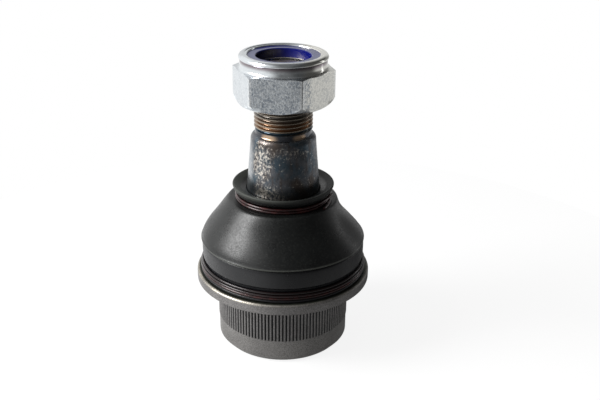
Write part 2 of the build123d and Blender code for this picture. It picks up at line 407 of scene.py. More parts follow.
@dataclass(frozen=True)
class ZincPlate(Finish):
    """Bright zinc plate over a cold-forged nut: pale and bluish, with a cloudy, pitted bloom.

    The front flat is heavily mottled, and its pits are painted darker as shade where it faces the
    dimmer room; the others are mottled less. The plate is painted warmer towards the right as a
    reflection, with highlights painted along the corners. The turned collar is smooth, shade is
    painted into its undercut under the bead, and the lower ends of the corners are frosted by
    tumbling.
    """

    name: str = "bright_zinc_plate"
    colour: str = "#e6ebee"
    metallic: float = 1.0
    roughness: float = 0.24
    smooth_roughness: float = 0.16
    frosted_roughness: float = 0.6
    warm_reflection_colour: str = "#e7e6df"
    front_shade_colour: str = "#97a0ab"
    undercut_shade_colour: str = "#938a8f"
    corner_highlight_colour: str = "#fafbfa"
    cells: Grain = Grain(0.75, 4.0, 0.65)
    cell_depth: float = 0.14
    cell_shade: Fade = Fade(0.38, 0.62, 1.0, 0.0)
    cell_sheen: Fade = Fade(0.35, 0.65, 0.3, 0.18)
    clouds: Grain = Grain(4.0, 2.0, 0.5)
    cloud_bloom: Fade = Fade(0.35, 0.75, 0.0, 0.6)
    shaded_front_flat: Fade = Fade(-15.0 * MM, -13.8 * MM, 1.0, 0.35)
    warm_reflection_side: Span = (5.0, 9.0)
    corner_highlight_radius: Fade = Fade(18.6 * MM, 18.8 * MM, 0.0, 0.5)
    corner_highlight_patches: Fade = Fade(0.3, 0.6, 0.55, 1.0)
    pitted_top: Span = (110.0, 110.3)
    collar_height: Span = (110.35, 110.5)
    collar_cleanness: float = 0.75
    smooth_height: Span = (110.4, 111.2)
    undercut_height: Zone = (111.9, 113.4, 113.75, 114.2)
    undercut_radius: Span = (15.0, 15.5)
    tumbled_height: Span = (98.6, 99.8)
    tumbled_radius: Span = (17.2, 17.8)

    def dress(self, surface: Surface) -> None:
        """Mottles the flats, smooths corners and collar, paints shade in the undercut, dulls the
        lower ends.
        """
        radius, height = surface.radius_and_height()
        across, back, _ = surface.axes(surface.place)
        cells = surface.noise(self.cells)
        cloud = surface.noise(self.clouds)
        # Painted shade: the front flat, facing the dimmer room, gets darker pits on top of its real
        # mottle.
        front_mottle_and_shade = surface.fade(back, self.shaded_front_flat)
        front_pits_and_shade = surface.times(front_mottle_and_shade, surface.fade(cells, self.cell_shade))
        bare = surface.math("SUBTRACT", 1.0, front_pits_and_shade)
        # Painted reflection: towards the right the plate is tinted warmer, as the warm room it
        # mirrors on that side.
        plate = surface.mix(self.colour, self.warm_reflection_colour, surface.rise(across, self.warm_reflection_side))
        tone = surface.mix(self.front_shade_colour, plate, bare)
        tone = surface.mix(tone, plate, surface.fade(cloud, self.cloud_bloom))
        # Painted highlight: along the corners the plate is coloured near white, in patches.
        corner = surface.times(
            surface.fade(radius, self.corner_highlight_radius), surface.fade(cells, self.corner_highlight_patches)
        )
        tone = surface.mix(tone, self.corner_highlight_colour, corner)
        turned = surface.rise(height, self.collar_height)
        tone = surface.mix(tone, plate, surface.times(turned, self.collar_cleanness))
        # Painted shade: under the rolled bead the collar is coloured darker and purplish.
        undercut_shade = surface.times(
            surface.zone(height, self.undercut_height), surface.rise(radius, self.undercut_radius)
        )
        surface.feed("Base Color", surface.mix(tone, self.undercut_shade_colour, undercut_shade))
        rough = surface.fade(cells, self.cell_sheen)
        smooth = surface.most(corner, surface.rise(height, self.smooth_height))
        rough = surface.between(rough, self.smooth_roughness, smooth)
        frosted = surface.times(
            surface.fall(height, self.tumbled_height), surface.rise(radius, self.tumbled_radius)
        )
        surface.feed("Roughness", surface.between(rough, self.frosted_roughness, frosted))
        pitted = surface.times(surface.fall(height, self.pitted_top), front_mottle_and_shade)
        surface.bump(surface.between(0.5, cells, pitted), self.cell_depth)


@dataclass(frozen=True)
class Polyamide(Finish):
    """Moulded polyamide, dyed blue: glossy walls, and a pale top face, partly scuffed where the rim
    was rolled and partly a painted reflection of the bright sky.

    Shade is painted on the hole's wall: on its left side it is coloured nearly black.
    """

    name: str = "blue_polyamide"
    colour: str = "#0c1572"
    metallic: float = 0.0
    roughness: float = 0.22
    scuffed_roughness: float = 0.5
    scuff_and_glare_colour: str = "#8f93a3"
    hole_shade_colour: str = "#02041a"
    scratches: Grain = Grain(0.6, 3.0, 0.6, (1.0, 1.0, 0.3))
    scratch_depth: float = 0.01
    scratch_wear: Fade = Fade(0.25, 0.6, 0.75, 1.0)
    face_height: Span = (114.6, 114.68)
    face_edge: Fade = Fade(12.95 * MM, 13.25 * MM, 1.0, 0.25)
    near_scuff_and_glare: float = 0.6
    far_side: Span = (6.0, 10.0)
    far_lip: Fade = Fade(11.5 * MM, 12.0 * MM, 1.0, 0.0)
    far_loss: float = 0.35
    hole_height: Span = (114.3, 114.6)
    hole_shade_side: Span = (-7.0, 5.0)

    def dress(self, surface: Surface) -> None:
        """Colours the top face pale for scuffs and painted reflection, not at its edge, and paints
        shade in the hole.
        """
        radius, height = surface.radius_and_height()
        across, back, _ = surface.axes(surface.place)
        scratch = surface.noise(self.scratches)
        # Painted reflection: the face's pale colour is partly scuffing and partly the bright sky it
        # mirrors; at the back its outer part stays dark blue, as the bead's dark wall mirrored there.
        far = surface.between(surface.fade(radius, self.far_lip), 0.0, self.far_loss)
        wear_and_painted_light = surface.times(
            surface.rise(height, self.face_height),
            surface.fade(radius, self.face_edge),
            surface.between(self.near_scuff_and_glare, far, surface.rise(back, self.far_side)),
            surface.fade(scratch, self.scratch_wear),
        )
        # Painted shade: the hole's wall is coloured nearly black on its left side.
        hole_shade = surface.times(
            surface.fall(height, self.hole_height), surface.fall(across, self.hole_shade_side)
        )
        dyed = surface.mix(self.colour, self.hole_shade_colour, hole_shade)
        surface.feed("Base Color", surface.mix(dyed, self.scuff_and_glare_colour, wear_and_painted_light))
        rough = surface.ease(wear_and_painted_light, 0.0, 1.0, self.roughness, self.scuffed_roughness)
        surface.feed("Roughness", rough)
        surface.bump(scratch, self.scratch_depth)


@dataclass(frozen=True)
class TemperedSteel(Finish):
    """Hardened and tempered stud: blue-black oxide with straw flecks where the scale came off, made
    denser as a painted highlight where the key lamp shines, and a painted highlight on the taper's
    left edge.

    The thread has crests painted paler as a highlight over grey flanks that turn tan and then blue at
    its lower end. The relief above the taper is glossy and dark, with two straw-coloured glazes, of
    which the left is a painted highlight.
    """

    name: str = "tempered_steel"
    colour: str = "#686b70"
    metallic: float = 1.0
    roughness: float = 0.33
    glossy_roughness: float = 0.22
    end_roughness: float = 0.42
    blue_colour: str = "#515f69"
    scale_colour: str = "#534840"
    straw_colour: str = "#f8f0e4"
    thread_colour: str = "#716c67"
    temper_colour: str = "#8d715a"
    crest_highlight_colour: str = "#bab0a2"
    relief_colour: str = "#bda38a"
    relief_dark: str = "#4e5055"
    left_edge_highlight_colour: str = "#bec3c7"
    pit_colour: str = "#2b2d30"
    end_colour: str = "#e9dfcf"
    flecks: Grain = Grain(0.9, 8.0, 0.8, (1.0, 1.0, 0.8))
    fleck_depth: float = 0.03
    fleck_sheen: Fade = Fade(0.35, 0.65, 0.41, 0.25)
    pits: Fade = Fade(0.36, 0.44, 0.8, 0.0)
    straw: Fade = Fade(0.57, 0.68, 0.0, 0.85)
    streaks: Grain = Grain(2.2, 3.0, 0.6, (1.0, 1.0, 0.25))
    streak_scale: Fade = Fade(0.48, 0.7, 0.0, 0.6)
    drift: Grain = Grain(9.0, 1.0, 0.5)
    drift_scale: Fade = Fade(0.5, 0.68, 0.0, 0.75)
    clouds: Grain = Grain(5.0, 3.0, 0.55)
    cloud_blue: Fade = Fade(0.42, 0.66, 0.0, 1.0)
    left_edge_highlight: Spot = Spot((-13.2, -2.0, 73.0), (4.0, 8.0, 16.0))
    left_edge_highlight_share: float = 0.8
    highlit_side: Spot = Spot((-8.0, -9.5, 76.5), (6.5, 7.0, 11.0))
    highlit_foot: Spot = Spot((-6.5, -12.0, 63.5), (13.0, 7.0, 7.0))
    highlit_band: Spot = Spot((2.0, -11.0, 80.5), (12.0, 7.0, 3.2))
    band_share: float = 0.6
    highlight_fleck_gain: float = 0.1
    left_glaze_highlight: Spot = Spot((-5.5, -9.2, 86.0), (4.5, 4.0, 2.0))
    right_glaze: Spot = Spot((6.0, -9.0, 86.0), (3.5, 4.0, 2.0))
    relief_height: Zone = (85.15, 85.5, 86.9, 87.1)
    thread_start: Span = (87.0, 87.3)
    tan_flanks: Span = (88.1, 88.6)
    grey_flanks: Span = (90.5, 93.5)
    crest_radius: Span = (10.6, 10.95)
    crest_share: float = 0.7
    end_height: Span = (110.2, 110.3)
    end_radius: Span = (1.5, 1.8)
    end_highlight: Spot = Spot((4.5, -1.0, 110.4), (4.5, 9.0, 3.0))
    end_highlight_metal: Fade = Fade(0.2, 0.6, 1.0, 0.0)

    def oxide(self, surface: Surface, fleck: bpy.types.NodeSocket) -> bpy.types.NodeSocket:
        """Builds the taper's colour: clouds of oxide, dark pits, and straw flecks, made denser as a
        painted highlight where the key lamp shines.

        Args:
            surface: The stud's surface.
            fleck: The fleck pattern.

        Returns:
            The colour.
        """
        streak = surface.noise(self.streaks)
        cloud = surface.noise(self.clouds)
        drift = surface.noise(self.drift)
        tone = surface.mix(self.colour, self.blue_colour, surface.fade(cloud, self.cloud_blue))
        tone = surface.mix(tone, self.scale_colour, surface.fade(drift, self.drift_scale))
        tone = surface.mix(tone, self.scale_colour, surface.fade(streak, self.streak_scale))
        # Painted highlight: the taper's left edge is coloured pale.
        pale = surface.times(surface.patch(self.left_edge_highlight), self.left_edge_highlight_share)
        tone = surface.mix(tone, self.left_edge_highlight_colour, pale)
        # Painted highlight: the straw flecks are made denser in spots on the front left, where the
        # key lamp's reflection falls.
        fleck_highlight_spots = surface.most(
            surface.patch(self.highlit_side),
            surface.patch(self.highlit_foot),
            surface.times(surface.patch(self.highlit_band), self.band_share),
        )
        wear_and_painted_light = surface.math("ADD", fleck, surface.times(fleck_highlight_spots, self.highlight_fleck_gain))
        tone = surface.mix(tone, self.pit_colour, surface.fade(fleck, self.pits))
        return surface.mix(tone, self.straw_colour, surface.fade(wear_and_painted_light, self.straw))

    def thread(self, surface: Surface) -> bpy.types.NodeSocket:
        """Builds the thread's colour by height, with crests painted paler as a highlight.

        Args:
            surface: The stud's surface.

        Returns:
            The colour.
        """
        radius, height = surface.radius_and_height()
        grey = surface.rise(height, self.grey_flanks)
        flank = surface.mix(self.temper_colour, self.thread_colour, grey)
        flank = surface.mix(self.blue_colour, flank, surface.rise(height, self.tan_flanks))
        # Painted highlight: the thread's crests are coloured paler than its flanks.
        crest = surface.times(surface.rise(radius, self.crest_radius), self.crest_share)
        return surface.mix(flank, self.crest_highlight_colour, crest)

    def dress(self, surface: Surface) -> None:
        """Lays the oxide's colours over the taper, tints the thread, its relief and its end, and
        paints a highlight on the end.
        """
        radius, height = surface.radius_and_height()
        fleck = surface.noise(self.flecks)
        threaded = surface.rise(height, self.thread_start)
        tone = surface.mix(self.oxide(surface, fleck), self.thread(surface), threaded)
        relief = surface.zone(height, self.relief_height)
        # Painted highlight: the left glaze lies where the key lamp shines on the relief; the right
        # glaze is a straw tone.
        glazes_and_highlight = surface.most(surface.patch(self.left_glaze_highlight), surface.patch(self.right_glaze))
        bare = surface.mix(self.relief_dark, self.relief_colour, glazes_and_highlight)
        tone = surface.mix(tone, bare, relief)
        end = surface.times(
            surface.rise(height, self.end_height), surface.rise(radius, self.end_radius)
        )
        # Painted highlight: a patch at the right of the end face is made non-metallic, so that its
        # pale colour shows as a bright crescent.
        end_highlight = surface.times(end, surface.patch(self.end_highlight))
        surface.feed("Metallic", surface.fade(end_highlight, self.end_highlight_metal))
        surface.feed("Base Color", surface.mix(tone, self.end_colour, end))
        rough = surface.fade(fleck, self.fleck_sheen)
        rough = surface.between(rough, self.glossy_roughness, surface.most(relief, threaded))
        surface.feed("Roughness", surface.between(rough, self.end_roughness, end))
        plain = surface.most(end, threaded)
        surface.bump(surface.between(fleck, 0.5, plain), self.fleck_depth)


@dataclass(frozen=True)
class Chloroprene(Finish):
    """Moulded chloroprene rubber: nearly black, waxy and dusty, with a pale highlight painted along
    the crease.
    """

    name: str = "moulded_chloroprene"
    colour: str = "#101212"
    metallic: float = 0.0
    roughness: float = 0.355
    dish_roughness: float = 0.6
    bloom_dust_and_light_colour: str = "#3c3f3a"
    band_shade_colour: str = "#090b10"
    crease_highlight_colour: str = "#4c4e4a"
    clouds: Grain = Grain(9.0, 3.0, 0.5)
    cloud_sheen: Fade = Fade(0.3, 0.7, 0.315, 0.405)
    skin: Grain = Grain(0.5, 2.0, 0.5)
    skin_depth: float = 0.012
    dust: Grain = Grain(0.6, 6.0, 0.85)
    dust_share: Fade = Fade(0.55, 0.68, 0.0, 1.0)
    dust_sheen: Fade = Fade(0.4, 0.6, -0.07, 0.1)
    dish_height: Span = (63.6, 64.4)
    dish_radius: Span = (15.2, 17.0)
    dish_lit_side: Fade = Fade(-8.0 * MM, 8.0 * MM, 1.0, 0.1)
    band_top: Span = (42.4, 42.8)
    crease_height: Zone = (42.84, 42.9, 43.45, 43.7)
    crease_highlight_patches: Fade = Fade(0.35, 0.5, 0.5, 1.0)

    def dress(self, surface: Surface) -> None:
        """Varies the sheen, dusts the skin, paints shade on the band, and paints light on the dish
        and the crease.
        """
        radius, height = surface.radius_and_height()
        across = surface.axes(surface.place)[0]
        cloud = surface.noise(self.clouds)
        dust = surface.noise(self.dust)
        dish = surface.times(
            surface.rise(height, self.dish_height), surface.rise(radius, self.dish_radius)
        )
        # The dish's grey bloom is partly painted light: strongest on the left, where the key lamp
        # lights it, and faint on the right, where the stud shades it.
        bloom = surface.times(dish, surface.fade(across, self.dish_lit_side))
        tone = surface.mix(self.colour, self.bloom_dust_and_light_colour, bloom)
        tone = surface.mix(tone, self.bloom_dust_and_light_colour, surface.fade(dust, self.dust_share))
        # Painted shade: below the crease the boot is coloured darker and bluer.
        tone = surface.mix(self.band_shade_colour, tone, surface.rise(height, self.band_top))
        # Painted highlight: a pale line along the crease, where the bell's rim catches the light.
        crease = surface.times(
            surface.zone(height, self.crease_height), surface.fade(cloud, self.crease_highlight_patches)
        )
        surface.feed("Base Color", surface.mix(tone, self.crease_highlight_colour, crease))
        rough = surface.fade(cloud, self.cloud_sheen)
        rough = surface.math("ADD", rough, surface.fade(dust, self.dust_sheen))
        surface.feed("Roughness", surface.between(rough, self.dish_roughness, dish))
        surface.bump(surface.noise(self.skin), self.skin_depth)


@dataclass(frozen=True)
class LacqueredWire(Finish):
    """Drawn spring wire under dark red lacquer: glossy, and redder where the lacquer is thin."""

    name: str = "red_lacquered_wire"
    colour: str = "#260a0b"
    metallic: float = 0.3
    roughness: float = 0.26
    coat: float = 0.4
    coat_roughness: float = 0.1
    thin_colour: str = "#451c1b"
    grease_and_shadow_colour: str = "#140405"
    clouds: Grain = Grain(2.5, 3.0, 0.6)
    thin_share: Fade = Fade(0.45, 0.7, 0.0, 1.0)
    band_shadow_height: Zone = (32.7, 33.2, 40.0, 41.0)

    def dress(self, surface: Surface) -> None:
        """Thins the lacquer in places, and paints shadow on the lower coil's upper turns, under the
        boot's band.
        """
        height = surface.axes(surface.place)[2]
        thin = surface.fade(surface.noise(self.clouds), self.thin_share)
        tone = surface.mix(self.colour, self.thin_colour, thin)
        # Painted shadow: the lower coil's upper turns are coloured darker, as they lie in the shadow
        # of the boot's band.
        band_shadow = surface.zone(height, self.band_shadow_height)
        surface.feed("Base Color", surface.mix(tone, self.grease_and_shadow_colour, band_shadow))
        surface.shader.inputs["Coat Weight"].default_value = self.coat
        surface.shader.inputs["Coat Roughness"].default_value = self.coat_roughness


@dataclass(frozen=True)
class Acetal(Finish):
    """Moulded natural acetal under a film of grease: milky white and waxy."""

    name: str = "natural_acetal"
    colour: str = "#dcd8c9"
    roughness: float = 0.3
    grease_and_shadow_colour: str = "#c6b98f"
    smears: Grain = Grain(3.0, 2.0, 0.5)
    smear_share: Fade = Fade(0.45, 0.75, 0.0, 0.7)
    smear_sheen: Fade = Fade(0.4, 0.7, 0.3, 0.14)

    def dress(self, surface: Surface) -> None:
        """Smears the grease unevenly over the moulding."""
        smear = surface.noise(self.smears)
        tone = surface.mix(self.colour, self.grease_and_shadow_colour, surface.fade(smear, self.smear_share))
        surface.feed("Base Color", tone)
        surface.feed("Roughness", surface.fade(smear, self.smear_sheen))


@dataclass(frozen=True)
class OiledSpringSteel(Finish):
    """Stamped and hardened disc spring: dark brown-grey, oiled, with fine rolling lines."""

    name: str = "oiled_spring_steel"
    colour: str = "#4d4a46"
    metallic: float = 1.0
    roughness: float = 0.32
    lines: Grain = Grain(0.4, 2.0, 0.5, (0.05, 1.0, 1.0))
    line_depth: float = 0.01
    line_sheen: Fade = Fade(0.35, 0.65, 0.32, 0.45)

    def dress(self, surface: Surface) -> None:
        """Draws the rolling lines across the disc."""
        lines = surface.noise(self.lines)
        surface.feed("Roughness", surface.fade(lines, self.line_sheen))
        surface.bump(lines, self.line_depth)


@dataclass(frozen=True)
class PressedCover(Finish):
    """Pressed steel sheet, phosphated with the housing: even grey with a faint orange-peel."""

    name: str = "phosphated_sheet_steel"
    colour: str = "#6a6a68"
    metallic: float = 0.85
    roughness: float = 0.45
    dark_colour: str = "#4f4f4d"
    peel: Grain = Grain(0.8, 3.0, 0.5)
    peel_depth: float = 0.02
    peel_share: Fade = Fade(0.35, 0.7, 0.0, 1.0)

    def dress(self, surface: Surface) -> None:
        """Mottles the sheet and gives it the press's faint texture."""
        peel = surface.noise(self.peel)
        tone = surface.mix(self.colour, self.dark_colour, surface.fade(peel, self.peel_share))
        surface.feed("Base Color", tone)
        surface.bump(peel, self.peel_depth)


# ---- modelling -----------------------------------------------------------------------------------


@dataclass(frozen=True)
class Ring:
    """One edge loop of a turned shape: its radius, height and lean along X, in millimetres."""

    radius: float
    height: float
    lean: float = 0.0


@dataclass(frozen=True)
class Station:
    """One place along a wire: azimuth in degrees, distance from the axis and height."""

    azimuth: float
    radius: float
    height: float

    def point(self) -> Vector:
        """The wire's centre here, in metres."""
        angle = math.radians(self.azimuth)
        flat = self.radius * MM
        return Vector((flat * math.cos(angle), flat * math.sin(angle), self.height * MM))


class Ends(Enum):
    """How the two ends of a turned shape are finished."""

    CAPPED = "capped"
    JOINED = "joined"
    OPEN = "open"


def share_of(value: float, start: float, length: float) -> float:
    """Share of a stretch that lies behind a value, from 0 at its start to 1 at its end."""
    return min(max((value - start) / length, 0.0), 1.0)


def eased(share: float) -> float:
    """Share with a gentle start and end."""
    return share * share * (3 - 2 * share)


def arc_rings(
    centre: tuple[float, float], radius: float, start: float, end: float, steps: int
) -> list[Ring]:
    """Rings along an arc of a profile.

    Args:
        centre: Radius and height of the arc's centre.
        radius: The arc's own radius.
        start: Angle at its first ring, in degrees from the outward direction.
        end: Angle at its last ring.
        steps: Number of pieces that the arc is cut into.

    Returns:
        One more ring than there are steps.
    """
    rings = []
    for index in range(steps + 1):
        angle = math.radians(start + (end - start) * index / steps)
        rings.append(
            Ring(centre[0] + radius * math.cos(angle), centre[1] + radius * math.sin(angle))
        )
    return rings


class Bench:
    """The hand tools that the new pieces are shaped with."""

    @staticmethod
    def turn(name: str, rings: Sequence[Ring], segments: int, ends: Ends) -> bpy.types.Object:
        """Shapes a turned piece by extruding one circle from ring to ring.

        Args:
            name: Name of the new piece.
            rings: The profile's rings in order.
            segments: Number of edges in each ring.
            ends: How the first and last ring are finished.

        Returns:
            The piece, with its place in its mesh.
        """
        bpy.ops.object.select_all(action="DESELECT")
        first = rings[0]
        bpy.ops.mesh.primitive_circle_add(
            vertices=segments, radius=first.radius * MM, enter_editmode=True
        )
        piece = bpy.context.object
        piece.name = piece.data.name = name
        bpy.ops.transform.translate(value=(first.lean * MM, 0.0, first.height * MM))
        if ends is Ends.CAPPED:
            bpy.ops.mesh.edge_face_add()
            bpy.ops.mesh.select_mode(type="EDGE")
        for last, ring in zip(rings, rings[1:]):
            step = ((ring.lean - last.lean) * MM, 0.0, (ring.height - last.height) * MM)
            Bench.extrude_loop(step, ring.radius / last.radius, ring)
        if ends is Ends.CAPPED:
            bpy.ops.mesh.edge_face_add()
        Bench.close_up(1e-6)
        return piece

    @staticmethod
    def extrude_loop(step: Point, scale: float, ring: Ring) -> None:
        """Extrudes the selected loop by a step and sizes it about its ring's centre."""
        bpy.ops.mesh.extrude_edges_move(TRANSFORM_OT_translate={"value": step})
        bpy.ops.transform.resize(
            value=(scale, scale, 1.0), center_override=(ring.lean * MM, 0.0, ring.height * MM)
        )

    @staticmethod
    def close_up(distance: float) -> None:
        """Merges doubles, turns the faces outwards and leaves edit mode."""
        bpy.ops.mesh.select_all(action="SELECT")
        bpy.ops.mesh.remove_doubles(threshold=distance)
        bpy.ops.mesh.normals_make_consistent(inside=False)
        bpy.ops.object.mode_set(mode="OBJECT")

    @staticmethod
    def pick(piece: bpy.types.Object) -> None:
        """Selects one piece alone and makes it the active one."""
        bpy.ops.object.select_all(action="DESELECT")
        piece.select_set(True)
        bpy.context.view_layer.objects.active = piece

    @staticmethod
    def coat(piece: bpy.types.Object, material: bpy.types.Material) -> None:
        """Gives a piece one material in place of what it has."""
        piece.data.materials.clear()
        piece.data.materials.append(material)

    @staticmethod
    def apply(piece: bpy.types.Object, kind: str, **settings: Any) -> None:
        """Adds a modifier with its settings and applies it."""
        Bench.pick(piece)
        modifier = piece.modifiers.new(kind.title(), kind)
        for name, value in settings.items():
            setattr(modifier, name, value)
        bpy.ops.object.modifier_apply(modifier=modifier.name)

    @staticmethod
    def cut(piece: bpy.types.Object, tool: bpy.types.Object, operation: str) -> None:
        """Joins, cuts or trims a piece with a tool, which is used up."""
        Bench.apply(piece, "BOOLEAN", operation=operation, object=tool, solver="EXACT")
        bpy.data.objects.remove(tool)

    @staticmethod
    def smooth(piece: bpy.types.Object, angle: float) -> None:
        """Shades a piece smooth and keeps edges sharper than the angle, in degrees."""
        Bench.pick(piece)
        bpy.ops.object.shade_smooth_by_angle(angle=math.radians(angle))

    @staticmethod
    def run_wire(
        name: str, stations: Sequence[Station], wire_mm: float, facets: int
    ) -> bpy.types.Object:
        """Draws a round wire from station to station, square to its run at each.

        Args:
            name: Name of the new piece.
            stations: Places along the wire, in order.
            wire_mm: Diameter of the wire.
            facets: Number of edges round it.

        Returns:
            The wire with both ends cut flat.
        """
        points = [station.point() for station in stations]
        bpy.ops.object.select_all(action="DESELECT")
        bpy.ops.mesh.primitive_circle_add(
            vertices=facets, radius=wire_mm * MM / 2, fill_type="NGON", enter_editmode=True
        )
        piece = bpy.context.object
        piece.name = piece.data.name = name
        facing = Vector((0.0, 0.0, 1.0))
        here = Vector((0.0, 0.0, 0.0))
        for index, point in enumerate(points):
            before = points[max(index - 1, 0)]
            after = points[min(index + 1, len(points) - 1)]
            run = (after - before).normalized()
            if index:
                bpy.ops.mesh.extrude_region_move(
                    TRANSFORM_OT_translate={"value": tuple(point - here)}
                )
            else:
                bpy.ops.transform.translate(value=tuple(point))
            Bench.turn_to(facing, run, point)
            facing, here = run, point
        Bench.close_up(1e-7)
        return piece

    @staticmethod
    def turn_to(facing: Vector, run: Vector, centre: Vector) -> None:
        """Turns what is selected about a centre, from one direction to another."""
        turn = facing.rotation_difference(run)
        axis, angle = turn.to_axis_angle()
        if abs(angle) < 1e-7:
            return
        side = axis.orthogonal().normalized()
        frame = Matrix((side, axis.cross(side), axis)).transposed()
        bpy.ops.transform.rotate(
            value=angle,
            orient_axis="Z",
            orient_matrix=frame,
            orient_matrix_type="GLOBAL",
            orient_type="GLOBAL",
            constraint_axis=(False, False, True),
            center_override=tuple(centre),
        )


# ---- sub-assemblies ------------------------------------------------------------------------------


@dataclass
class BallStud:
    """The hardened stud: ball, neck, boot seat, taper, relief and cut thread."""

    ball_radius: float = 17.0
    ball_centre: float = 22.0
    ball_bottom: float = 9.5
    ball_steps: int = 40
    neck_edge_angle: float = 35.5
    neck_radius: float = 9.3
    seat_radius: float = 14.0
    taper_bottom: float = 62.6
    taper_top: float = 82.6
    taper_ratio: float = 6.0
    shoulder_straight_top: float = 83.1
    shoulder_round: float = 2.4
    shoulder_turn: float = 62.0
    shoulder_steps: int = 7
    relief_round: float = 0.8
    relief_top: float = 85.93
    relief_radius: float = 10.6
    thread_radius: float = 11.0
    thread_depth: float = 0.92
    core_inset: float = 0.2
    pitch: float = 1.5
    run_in: float = 2.2
    thread_start: float = 87.1
    stud_end: float = 110.4
    end_chamfer: float = 1.3
    centre_hole_radius: float = 1.6
    centre_hole_depth: float = 2.77
    segments: int = 160
    finish: Finish = field(default_factory=TemperedSteel)

    def profile(self) -> list[Ring]:
        """Rings of the turned blank below its thread."""
        flat = math.sqrt(self.ball_radius**2 - (self.ball_centre - self.ball_bottom) ** 2)
        low = math.degrees(math.asin((self.ball_bottom - self.ball_centre) / self.ball_radius))
        rings = [Ring(flat * 0.5, self.ball_bottom)]
        high = 90.0 - self.neck_edge_angle
        rings += arc_rings((0.0, self.ball_centre), self.ball_radius, low, high, self.ball_steps)
        edge = rings[-1]
        rings += [
            Ring(self.neck_radius + (edge.radius - self.neck_radius) * 0.36, 36.8),
            Ring(self.neck_radius + 0.05, 38.2),
            Ring(self.neck_radius, 39.0),
            Ring(self.neck_radius, 43.0),
            Ring(self.neck_radius + 0.3, 45.6),
            Ring(self.neck_radius + 1.1, 48.2),
            Ring(self.neck_radius + 2.5, 51.0),
            Ring(self.seat_radius - 0.5, 53.2),
            Ring(self.seat_radius, 54.0),
        ]
        top = self.seat_radius - (self.taper_top - self.taper_bottom) / (2 * self.taper_ratio)
        rings += [Ring(self.seat_radius, self.taper_bottom), Ring(top, self.taper_top)]
        rings += arc_rings(
            (top - self.shoulder_round, self.shoulder_straight_top),
            self.shoulder_round,
            0.0,
            self.shoulder_turn,
            self.shoulder_steps,
        )
        rings += arc_rings(
            (self.relief_radius + self.relief_round, self.relief_top),
            self.relief_round,
            180.0 + self.shoulder_turn,
            180.0,
            self.shoulder_steps,
        )
        core = self.thread_radius - self.thread_depth - self.core_inset
        rings += [
            Ring(self.relief_radius, self.thread_start),
            Ring(core, self.thread_start + 0.25),
            Ring(core, self.stud_end - self.centre_hole_depth - 0.5),
        ]
        return rings

    def thread(self) -> bpy.types.Object:
        """Cuts the thread: one pitch of its outline screwed up the stud and trimmed to the blank.

        Returns:
            The threaded length as one closed mesh.
        """
        crest, root = self.thread_radius, self.thread_radius - self.thread_depth
        outline = (
            (0.0, root), (0.12, root + 0.05), (0.6, crest - 0.1), (0.67, crest - 0.02),
            (0.75, crest), (0.83, crest - 0.02), (0.9, crest - 0.1), (1.38, root + 0.05),
            (1.5, root),
        )
        bpy.ops.object.select_all(action="DESELECT")
        bpy.ops.mesh.primitive_plane_add(size=MM, enter_editmode=True)
        piece = bpy.context.object
        piece.name = piece.data.name = "stud_thread"
        bpy.ops.mesh.merge(type="CENTER")
        start = self.thread_start - self.run_in * self.pitch
        bpy.ops.transform.translate(value=(outline[0][1] * MM, 0.0, start * MM))
        for last, this in zip(outline, outline[1:]):
            step = ((this[1] - last[1]) * MM, 0.0, (this[0] - last[0]) * MM)
            bpy.ops.mesh.extrude_region_move(TRANSFORM_OT_translate={"value": step})
        bpy.ops.object.mode_set(mode="OBJECT")
        turns = math.ceil((self.stud_end - start) / self.pitch) + 2
        Bench.apply(
            piece,
            "SCREW",
            axis="Z",
            angle=math.tau,
            screw_offset=self.pitch * MM,
            iterations=turns,
            steps=self.segments,
            render_steps=self.segments,
            use_merge_vertices=False,
        )
        bpy.ops.object.mode_set(mode="EDIT")
        bpy.ops.mesh.select_all(action="SELECT")
        bpy.ops.mesh.remove_doubles(threshold=1e-6)
        for height, outer in ((self.thread_start - 0.15, False), (self.stud_end, True)):
            bpy.ops.mesh.select_all(action="SELECT")
            bpy.ops.mesh.bisect(
                plane_co=(0.0, 0.0, height * MM),
                plane_no=(0.0, 0.0, 1.0),
                use_fill=True,
                clear_outer=outer,
                clear_inner=not outer,
                threshold=1e-8,
            )
        Bench.close_up(1e-7)
        blank = Bench.turn(
            "thread_blank",
            [
                Ring(self.relief_radius - 0.6, self.thread_start - 0.1),
                Ring(self.relief_radius - 0.15, self.thread_start - 0.1),
                Ring(self.thread_radius + 0.02, self.thread_start + 0.55),
                Ring(self.thread_radius + 0.02, self.stud_end - self.end_chamfer),
                Ring(self.thread_radius - self.end_chamfer, self.stud_end - 0.01),
                Ring(self.centre_hole_radius, self.stud_end - 0.01),
                Ring(0.1, self.stud_end - self.centre_hole_depth),
            ],
            self.segments,
            Ends.CAPPED,
        )
        Bench.cut(piece, blank, "INTERSECT")
        return piece

    def build(self) -> bpy.types.Object:
        """Models the stud and puts it in the place of its solid.

        Returns:
            The finished stud.
        """
        thread = self.thread()
        stud = Bench.turn("stud", self.profile(), self.segments, Ends.CAPPED)
        Bench.cut(stud, thread, "UNION")
        Bench.smooth(stud, 28.0)
        Bench.coat(stud, self.finish.material())
        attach(stud, "stud")
        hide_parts("ball_stud")
        return stud


